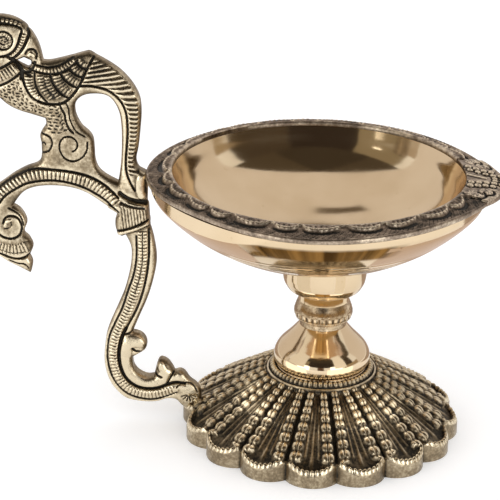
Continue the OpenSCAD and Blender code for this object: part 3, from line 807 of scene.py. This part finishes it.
def rim_relief(a, w, width):
    """Height over the rim's slope and darkness, w mm out from its inner edge."""
    swing = 13 * a + 0.5 * np.sin(3 * a) + 0.35 * np.sin(11 * a) + 0.5
    lobe = unit(abs(np.cos(swing)) * 1.25 - 0.25) ** 0.55
    grow = 1 + 0.35 * np.exp(-(np.minimum(a, 2 * math.pi - a) / 0.6) ** 2)
    edge = (1.15 + 1.7 * lobe) * grow
    d = w - edge
    teeth = cycle(a * RIM_TEETH / (2 * math.pi))
    tooth = nick(teeth, 0.95)
    scallop = unit(0.5 - d / 0.3)
    recess = unit(1.7 - abs(d - 0.8) / 0.5) * (0.3 + 0.7 * lobe)
    fringe = unit(1.2 - abs(d + 0.3) / 0.4)
    veins = unit(0.5 - (d + 0.7) / 0.4) * unit((w - 0.5) * 1.5)
    vein = 0.5 + 0.5 * np.cos(teeth * math.pi + 0.9 * np.sin(w * 3.1))
    height = 0.5 * scallop * np.clip(w / 0.9, 0.2, 1) - 0.6 * recess - fringe * (0.5 * tooth - 0.15)
    height -= 0.3 * veins * vein
    weave = np.sin(a * 330) * np.sin(w * 7.5 + 40 * a) + 0.5 * np.sin(a * 205 + w * 5)
    band = unit((d - 0.9) / 0.3) * unit((width - w - 0.3) / 0.3)
    height += band * (0.12 * weave - 0.05)
    lip = unit(1 - abs(width - w - 0.3) / 0.4)
    height += 0.16 * lip * (0.6 + 0.4 * np.sin(a * RIM_TEETH))
    grime = 0.12 * np.sin(7 * a + 1) * np.sin(4 * a) + 0.1 * np.sin(a * 61) * np.sin(w * 2.3 + a * 9)
    plain = 0.52 + grime - 0.22 * unit(1.2 - w) - 0.1 * lip - 0.55 * fringe * (1 - tooth)
    dark = np.maximum(plain, recess * 1.25)
    dark = np.maximum(dark, band * (0.44 + grime - 0.3 * weave))
    dark = np.maximum(dark, 0.5 * veins * vein + 0.25 * veins)
    return height, unit(np.maximum(dark, 0.85 * fringe * tooth))


def build_rim(material):
    """The rim from one side of the leaf round to the other, closed at both ends."""
    gap = math.radians(19.2)        # half of what the leaf takes up
    a = np.linspace(gap, 2 * math.pi - gap, 1500)
    reach = rim_reach(a)
    width = reach - LIP_R
    part = np.concatenate([[0, 0.02], np.linspace(0.05, 0.95, 44), [0.98, 1.0]])
    w = part[:, None] * width
    height, dark = rim_relief(a, w, width)
    crown = RIM_Z + RIM_T + np.clip(RIM_FALL - RIM_SLOPE * w, 0, 9)
    z = crown + (height - 0.1) * unit(np.minimum(w, width - w) / 0.3) - 0.12 * (
        (w < 0.1) | (width - w < 0.1))
    under_w = np.array([1.0, 0.98, 0.5, 0.0])[:, None] * width
    lower = RIM_Z + np.clip(RIM_FALL * 0.93 * (1 - under_w / 6), 0, 9)
    lower[0] += 0.15
    rows_w = np.vstack([w, (w[-1] + 0.12)[None], (w[-1] + 0.12)[None], under_w])
    rows_z = np.vstack([z, (z[-1] - 0.45)[None], (lower[0] + 0.4)[None], lower])
    shade = np.vstack([dark, np.full((2, len(a)), 0.36), np.full((4, len(a)), 0.3)])
    rows, columns = rows_w.shape
    faces = np.array(grid_faces(rows, columns)).reshape(rows, columns, 4)[:, :-1].reshape(-1, 4).tolist()
    ends = [[i * columns for i in range(rows)], [i * columns + columns - 1 for i in range(rows)][::-1]]
    piece("rim_cast", swept(LIP_R + rows_w, rows_z, a, BOWL_X), faces + ends, material,
          "rim_border", shade, 65)


def curl(m, x, y, r, turn):
    """A small raised scroll with a dark eye, open towards the angle turn."""
    m.groove(circle_path((x, y), r * 1.15), 0.45, 0.3, 0.75)
    m.ridge(circle_path((x, y), r * 0.68, turn + 25, turn + 335), r * 0.7, 0.55)
    m.ridge(circle_path((x, y), 0.1), r * 0.4, 0.3)


def leaf_relief(m):
    """The leaf's face: scallops go on along its shoulders, and small scrolls crowd round its point."""
    curls = ((38.2, 7.2, 1.0, 200), (40.3, 6.4, 1.0, 160), (42.4, 5.6, 0.95, 130), (44.4, 5.4, 0.9, 80),
             (38.6, 4.6, 0.9, 220), (40.7, 4.0, 0.9, 170), (42.8, 3.2, 0.9, 130), (44.9, 2.9, 0.95, 90),
             (46.8, 3.2, 0.85, 40), (47.4, 1.2, 0.9, 20), (45.2, 0.9, 0.8, 120))
    for side in (1, -1):
        for x, y, r in ((39.4, 12.2, 2.3), (42.2, 9.6, 1.9)):
            start = -150 if side < 0 else -30
            m.groove(circle_path((x, side * y), r + 0.5, start, start + 180), 0.9, 0.55, 0.95)
            m.ribs(circle_path((x, side * y), r, start, start + 180), 0.9, 0.55, 0.35, 0.8, 0.4)
            w, inside = m.region(circle_path((x, side * y), r - 0.3))
            m.lift(w, 0.25 * inside)
            m.dashes(w, inside, 20 * side, 0.9, 0.5, 0.15, 0.6)
        for x, y, r, turn in curls:
            curl(m, x, side * y, r, side * turn)
        edge = [(42.8, side * 14.4), (44.8, side * 10.6), (46.9, side * 5.9), (49.6, side * 0.6)]
        m.ribs(edge, 1.9, 0.5, 0.15, 0.6, 0.1)
    m.ridge([(37.4, 0.9), (39.8, 0.4), (42.6, 0)], 1.1, 0.4)


def build_leaf(material):
    """The leaf at the spout. It carries on the rim's slope, and its point hangs down a little."""
    m = Relief((30, -18), (53, 18))
    leaf_relief(m)
    side = np.vstack([[(33.5, 12)], curve([(42.6, 15.9), (44.9, 12), (47.3, 6.4), (51, 0)])])
    loop = np.vstack([side, (side * (1, -1))[::-1]])
    radius = np.hypot(m.u - BOWL_X, m.v)
    edge = signed_distance(m.u, m.v, [loop])
    h = m.face()[0]
    top = RIM_Z + RIM_T + RIM_FALL - 0.1 + h * 0.75 - RIM_SLOPE * (radius - LIP_R) * 0.6
    bottom = RIM_Z + RIM_FALL * 0.93 * (1 - (radius - LIP_R) / 6)
    drop = 1.2 * unit((radius - 46.2) / 1.2) * unit((15 - abs(m.v)) / 11)
    bottom = np.clip(bottom, RIM_Z, None) - drop
    m.tone += 0.38
    plate("leaf_cast", m, edge, top, bottom, LIP_R - radius, lambda p: p, material,
          "spout_leaf", LEAF_BEVEL)


# ---- Materials ----

def new_material(name):
    """A new material, its node tree and its shader."""
    mat = bpy.data.materials.new(name)
    mat.use_nodes = True
    tree = mat.node_tree
    return mat, tree, tree.nodes["Principled BSDF"]


def add(tree, kind, inputs=(), **settings):
    """A node with its settings made and its inputs set or linked."""
    n = tree.nodes.new(kind)
    for key, value in settings.items():
        setattr(n, key, value)
    for key, value in dict(inputs).items():
        if isinstance(value, bpy.types.NodeSocket):
            tree.links.new(value, n.inputs[key])
        else:
            n.inputs[key].default_value = value
    return n


def feed(tree, shader, **values):
    """Sets or links the shader's inputs. An underscore stands for a space in their names."""
    for key, value in values.items():
        socket = shader.inputs[key.replace("_", " ")]
        if isinstance(value, bpy.types.NodeSocket):
            tree.links.new(value, socket)
        else:
            socket.default_value = value


def object_space(tree):
    """The object's own coordinates, in metres."""
    return add(tree, "ShaderNodeTexCoord").outputs["Object"]


def noise(tree, where, scale, detail=3.0):
    """Soft noise in three dimensions."""
    return add(tree, "ShaderNodeTexNoise",
               {"Vector": where, "Scale": scale, "Detail": detail, "Roughness": 0.55}).outputs["Fac"]


def streaks(tree, along, scale, detail):
    """Noise that varies with one number only."""
    return add(tree, "ShaderNodeTexNoise", {"W": along, "Scale": scale, "Detail": detail},
               noise_dimensions="1D").outputs["Fac"]


def math_node(tree, kind, a, b=0.0):
    return add(tree, "ShaderNodeMath", {0: a, 1: b}, operation=kind).outputs[0]


def plus(tree, a, b):
    return math_node(tree, "ADD", a, b)


def times(tree, a, b):
    return math_node(tree, "MULTIPLY", a, b)


def bumps(tree, strength, distance, height):
    """The normal of a surface bumped by the height."""
    return add(tree, "ShaderNodeBump",
               {"Strength": strength, "Distance": distance, "Height": height}).outputs["Normal"]


def ramp(tree, fac, stops):
    """Colours at their places along fac."""
    n = add(tree, "ShaderNodeValToRGB", {"Fac": fac})
    while len(n.color_ramp.elements) < len(stops):
        n.color_ramp.elements.new(0.5)
    for e, (at, colour) in zip(n.color_ramp.elements, stops):
        e.position = at
        e.color = (*colour, 1)
    return n.outputs["Color"]


def fit(tree, value, low, high, to_low, to_high):
    """The value, taken from one range to another and kept inside it."""
    return add(tree, "ShaderNodeMapRange", {"Value": value, "From Min": low, "From Max": high,
                                            "To Min": to_low, "To Max": to_high}).outputs["Result"]


def cast_brass(name, bright, mid, dark, rough, tarnish):
    """Cast brass, black in its hollows and rubbed bright on what stands up."""
    mat, tree, shader = new_material(name)
    where = object_space(tree)
    # The patina attribute: dark hollows, and on the handle painted shade and light too.
    ink = add(tree, "ShaderNodeAttribute", attribute_name="patina").outputs["Fac"]
    cloud = noise(tree, where, 190)
    grain = noise(tree, where, 1400, 4)
    wear = times(tree, math_node(tree, "SUBTRACT", cloud, 0.5), 0.6)
    grit = times(tree, math_node(tree, "SUBTRACT", grain, 0.5), 0.6)
    level = plus(tree, plus(tree, ink, wear), plus(tree, grit, tarnish))
    feed(tree, shader,
         Base_Color=ramp(tree, level, [(0.1, bright), (0.42, mid), (0.8, dark)]),
         Metallic=fit(tree, level, 0.6, 1.0, 1.0, 0.6),
         Roughness=fit(tree, level, 0.0, 0.9, rough, 0.5),
         Normal=bumps(tree, 0.4, 0.00014, grain))
    return mat


def turned_brass(name, colour, deep, rough):
    """Polished brass with the faint rings of the lathe and small scuffs."""
    mat, tree, shader = new_material(name)
    where = object_space(tree)
    flat = add(tree, "ShaderNodeVectorMath", {0: where, 1: (1, 1, 0)}, operation="MULTIPLY").outputs[0]
    radius = add(tree, "ShaderNodeVectorMath", {0: flat}, operation="LENGTH").outputs["Value"]
    rings = streaks(tree, radius, 2600, 2.0)
    cloud = noise(tree, where, 60, 2)
    spots = fit(tree, noise(tree, where, 900, 2), 0.68, 0.74, 0, 1)
    shade = plus(tree, fit(tree, cloud, 0.35, 0.7, 0, 0.45), times(tree, spots, 0.35))
    height = plus(tree, times(tree, rings, 0.35), times(tree, cloud, 2.0))
    feed(tree, shader, Metallic=1.0,
         Base_Color=ramp(tree, shade, [(0.0, colour), (1.0, deep)]),
         Roughness=fit(tree, cloud, 0.3, 0.7, rough, rough + 0.07),
         Normal=bumps(tree, 0.12, 0.00006, height))
    return mat


def plain_steel():
    """Plain grey steel, for the hidden stud, washer, nut and pins."""
    mat, tree, shader = new_material("steel")
    cloud = noise(tree, object_space(tree), 300)
    grey = ramp(tree, cloud, [(0.3, (0.42, 0.42, 0.41)), (0.7, (0.6, 0.6, 0.58))])
    feed(tree, shader, Base_Color=grey, Metallic=1.0, Roughness=0.35)
    return mat


# ---- The studio ----

def card(name, shape, colour, strength=1.0):
    """A glowing or dark card that only reflections see, from its corners and faces."""
    mesh = bpy.data.meshes.new(name)
    corners, faces = shape
    mesh.from_pydata(corners, [], faces)
    mat, tree, _ = new_material(name)
    tree.nodes.clear()
    glow = add(tree, "ShaderNodeEmission", {"Color": (*colour, 1), "Strength": strength})
    add(tree, "ShaderNodeOutputMaterial", {"Surface": glow.outputs[0]})
    mesh.materials.append(mat)
    obj = in_scene(name, mesh)
    obj.visible_camera = obj.visible_diffuse = obj.visible_shadow = obj.visible_transmission = False
    return tree


def soft_card(name, shape, dark, bright, edges):
    """A card with streaks that fan out from the lamp's axis, fading away beyond its edges.

    The edges are where the sides start and end to fade, in width over distance, and its heights in mm.
    """
    fade_from, fade_to, foot_z, head_z = edges
    tree = card(name, shape, bright)
    xyz = add(tree, "ShaderNodeSeparateXYZ", {"Vector": object_space(tree)})
    fan = math_node(tree, "DIVIDE", xyz.outputs["X"], xyz.outputs["Y"])
    glow = tree.nodes["Emission"]
    feed(tree, glow, Color=ramp(tree, streaks(tree, fan, 9.0, 3.0), [(0.38, dark), (0.66, bright)]))
    side = fit(tree, math_node(tree, "ABSOLUTE", fan), fade_from, fade_to, 1, 0)
    foot = fit(tree, xyz.outputs["Z"], foot_z * MM, foot_z * MM + SOFT, 0, 1)
    head = fit(tree, xyz.outputs["Z"], head_z * MM - SOFT, head_z * MM, 1, 0)
    shown = times(tree, side, times(tree, foot, head))
    clear = add(tree, "ShaderNodeBsdfTransparent")
    mix = add(tree, "ShaderNodeMixShader", {0: shown, 1: clear.outputs[0], 2: glow.outputs[0]})
    feed(tree, tree.nodes["Material Output"], Surface=mix.outputs[0])


def lathe_card(profile, azimuths, x=0.0):
    """The corners and faces of a turned strip round the axis at x, from radii and heights in mm."""
    spots = [((x + r * math.sin(a)) * MM, -r * math.cos(a) * MM, z * MM)
             for r, z in profile for a in np.radians(np.linspace(*azimuths, CARD_COLUMNS))]
    return spots, strip_faces(len(profile), CARD_COLUMNS)


def near_cards():
    """Small glowing strips between the bowl and the base, for the polished stem and bowl to show."""
    under_bowl = [(38.5, 60.2), (42.2, 63.8), (44.6, 66.3), (46.4, 68.4), (47.4, 70.4)]
    soft_card("amber_under_bowl", lathe_card(under_bowl, (-42, 42), BOWL_X),
              (0.09, 0.055, 0.022), (0.42, 0.27, 0.11), (0.42, 0.64, 60.6, 70.4))
    beside_bowl = [(32, 55), (38, 59.5), (42.5, 64), (46.5, 68.6)]
    for name, azimuths in (("mauve_left", (-86, -28)), ("mauve_right", (27, 80))):
        card(name, lathe_card(beside_bowl, azimuths, BOWL_X), (0.72, 0.6, 0.54))
    soft_card("amber_over_bell", lathe_card([(11.8, 37.8), (16.5, 37.8)], (-18, 13)),
              (0.34, 0.19, 0.07), (0.66, 0.4, 0.15), (1, 2, 20, 60))
    card("amber_round_neck", lathe_card([(13, 36.8), (13, 39)], (-75, 75)), (0.43, 0.28, 0.12))
    band, glint = [(30, 26), (30, 56)], [(26, 7), (26, 24)]
    for name, profile, azimuths, strength in (("band_left", band, (-68, -32), 0.95),
                                              ("band_right", band, (26, 50), 1.05),
                                              ("glint_left", glint, (-70, -26), 1.9),
                                              ("glint_right", glint, (11, 60), 1.9)):
        card(name, lathe_card(profile, azimuths), (1.0, 0.97, 0.92), strength)


def aim(azimuth, elevation):
    """A direction in degrees: azimuth 0 is the camera's side, + the right."""
    a, e = math.radians(azimuth), math.radians(elevation)
    return Vector((math.sin(a) * math.cos(e), -math.cos(a) * math.cos(e), math.sin(e)))


def shell(name, azimuths, elevations, colour, distance=1.4):
    """A part of a dome round the lamp that only reflections see."""
    spots = [SHELL_CENTRE + aim(a, e) * distance
             for e in np.linspace(*elevations, SHELL_ROWS) for a in np.linspace(*azimuths, CARD_COLUMNS)]
    card(name, (spots, strip_faces(SHELL_ROWS, CARD_COLUMNS)), colour)


def softbox(name, azimuth, elevation, distance, width, height, radiance):
    """An area light that shows in reflections with the given brightness."""
    light = bpy.data.lights.new(name, "AREA")
    light.shape = "RECTANGLE"
    light.size, light.size_y = width, height
    light.energy = radiance * math.pi * width * height
    obj = in_scene(name, light)
    out = aim(azimuth, elevation)
    obj.location = BOX_TARGET + out * distance
    obj.rotation_euler = out.to_track_quat("Z", "Y").to_euler()
    obj.visible_camera = False


def studio():
    """A pale world, with the cards that give the polished brass its reflections and two softboxes."""
    world = bpy.data.worlds.new("studio")
    bpy.context.scene.world = world
    world.use_nodes = True
    back = world.node_tree.nodes["Background"]
    back.inputs["Color"].default_value = (0.98, 0.985, 1.0, 1)
    back.inputs["Strength"].default_value = 1.0
    for sizes_and_colour in (
            ("pale_back", (102, 268), (-2, 90), (0.8, 0.75, 0.72)),
            ("dim_left", (-91, -52), (40, 90), (0.085, 0.067, 0.046)),
            ("dark_ceiling", (-52, 46), (40, 90), (0.06, 0.047, 0.033)),
            ("dim_right", (46, 101), (40, 90), (0.09, 0.071, 0.048)),
            ("dark_middle", (-34, 30), (17, 41), (0.04, 0.03, 0.023)),
            ("brown_right", (30, 86), (15, 41), (0.075, 0.058, 0.04)),
            ("amber_left", (-83, -34), (17, 41), (0.3, 0.25, 0.17)),
            ("dark_dot", (-180, -160), (46.5, 52), (0.1, 0.07, 0.04), 1.3),
            ("dark_front", (-9, 7), (-12, 20), (0.12, 0.07, 0.045)),
            ("dark_side_right", (60, 101), (2, 16), (0.42, 0.33, 0.22)),
            ("dark_side_left", (-91, -66), (4, 18), (0.5, 0.42, 0.33)),
            ("streak", (-58, -50), (24, 27), (2.2, 2.1, 1.9), 1.3)):
        shell(*sizes_and_colour)
    near_cards()
    behind = [(-0.3, 0.05, 0.002), (0.3, 0.05, 0.002), (0.3, 0.6, 0.002), (-0.3, 0.6, 0.002)]
    card("mauve_back", (behind, [(0, 1, 2, 3)]), (0.46, 0.37, 0.31))
    softbox("box_left", -42, 4.5, 0.38, 0.2, 0.17, 1.9)
    softbox("box_right", 36, 4.5, 0.38, 0.2, 0.17, 2.1)


def floor():
    """A plain white floor that glows a little, so that it stays as pale as the photograph's."""
    mesh = bpy.data.meshes.new("floor")
    s = 6.0
    mesh.from_pydata([(-s, -s, 0), (s, -s, 0), (s, s, 0), (-s, s, 0)], [], [(0, 1, 2, 3)])
    mat, tree, shader = new_material("floor")
    feed(tree, shader, Base_Color=(0.86, 0.86, 0.86, 1), Roughness=1.0, Specular_IOR_Level=0.0,
         Emission_Color=(1, 1, 1, 1), Emission_Strength=0.27)
    mesh.materials.append(mat)
    in_scene("floor", mesh)


def camera():
    """The photograph's view: from just right of the front, above, and turned a little."""
    azimuth, elevation, roll = 2.5, 22.5, math.radians(1.2)
    target, distance = Vector((-0.02082, 0, 0.05275)), 0.6138
    back = aim(azimuth, elevation)
    right = Vector((math.cos(math.radians(azimuth)), math.sin(math.radians(azimuth)), 0))
    up = back.cross(right)
    r = math.cos(roll) * right + math.sin(roll) * up
    u = -math.sin(roll) * right + math.cos(roll) * up
    data = bpy.data.cameras.new("camera")
    data.lens, data.sensor_width = 160, 36
    data.clip_start, data.clip_end = 0.01, 50
    obj = in_scene("camera", data)
    turn = Matrix((r, u, back)).transposed().to_4x4()
    obj.matrix_world = Matrix.Translation(target + back * distance) @ turn
    bpy.context.scene.camera = obj


# ---- The scene ----

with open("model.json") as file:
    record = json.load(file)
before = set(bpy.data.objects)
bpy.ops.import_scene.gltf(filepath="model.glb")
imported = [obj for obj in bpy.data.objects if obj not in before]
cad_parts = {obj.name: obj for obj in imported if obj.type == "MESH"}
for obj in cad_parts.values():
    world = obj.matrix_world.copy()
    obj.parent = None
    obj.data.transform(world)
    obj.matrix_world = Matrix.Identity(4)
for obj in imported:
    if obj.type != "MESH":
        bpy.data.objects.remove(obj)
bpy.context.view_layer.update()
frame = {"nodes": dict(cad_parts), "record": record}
bpy.context.scene.view_settings.view_transform = "Standard"

antique = cast_brass("antique_brass", (0.76, 0.65, 0.46), (0.3, 0.235, 0.15), (0.022, 0.018, 0.012),
                     rough=0.22, tarnish=0.02)
patina = cast_brass("patina_brass", (0.84, 0.72, 0.54), (0.31, 0.24, 0.18), (0.02, 0.017, 0.012),
                    rough=0.3, tarnish=0.03)
rubbed = cast_brass("rubbed_brass", (0.7, 0.56, 0.38), (0.3, 0.21, 0.12), (0.03, 0.02, 0.012),
                    rough=0.1, tarnish=0.1)
polished = turned_brass("polished_brass", (0.76, 0.6, 0.4), (0.62, 0.46, 0.27), 0.08)
finishes = {"antique_brass": antique, "patina_brass": patina, "polished_brass": polished,
            "steel": plain_steel()}
for part in frame["record"]["subparts"]:
    cad_mesh = frame["nodes"][part["node"]].data
    cad_mesh.materials.clear()
    cad_mesh.materials.append(finishes[part["material_slot"]])

build_handle(antique)
build_base(antique)
build_stem(polished, rubbed)
build_bowl(polished)
build_rim(patina)
build_leaf(patina)
studio()
floor()
camera()
